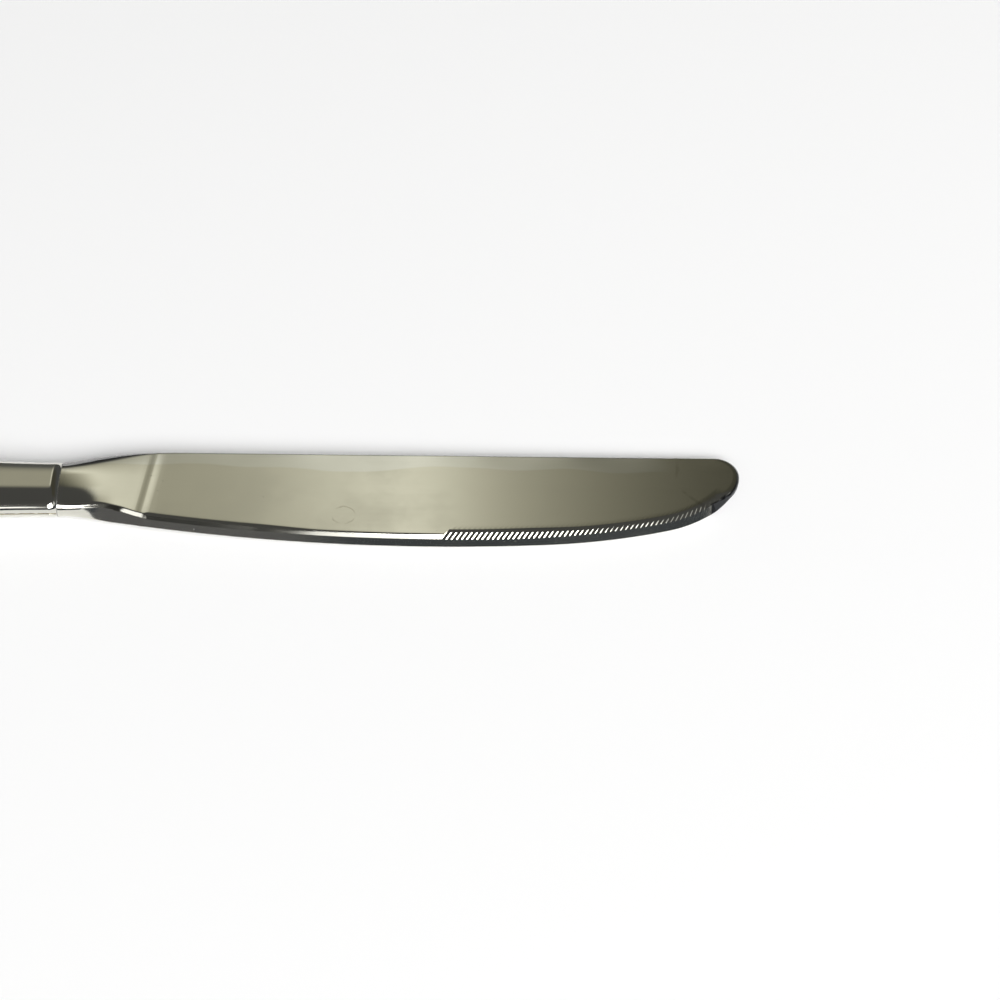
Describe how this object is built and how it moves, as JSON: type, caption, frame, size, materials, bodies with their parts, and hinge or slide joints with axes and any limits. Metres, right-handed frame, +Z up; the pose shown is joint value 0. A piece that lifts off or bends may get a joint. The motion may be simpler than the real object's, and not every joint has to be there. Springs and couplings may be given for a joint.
{
  "type": "dinner knife",
  "caption": "Table knife with a broad, round-nosed, one-sided serrated blade, a forged bolster and a plain hollow handle; lies flat on its left side",
  "frame": {"origin": "under the middle of the knife as it lies on its left side, on the table", "axes": "+X along the knife towards the tip, +Y from the edge towards the spine, +Z up, out of the right side"},
  "size_m": [0.2378, 0.0221, 0.0095],
  "materials": {
    "blade_steel": "polished",
    "handle_steel": "polished",
    "braze": "polished",
    "solder": "satin",
    "cement": "matte"
  },
  "bodies": {
    "root": {"blade": "blade_steel", "handle_shell_right": "handle_steel", "handle_shell_left": "handle_steel", "seam_braze": "braze", "mouth_solder": "solder", "handle_cement": "cement"}
  },
  "joints": []
}
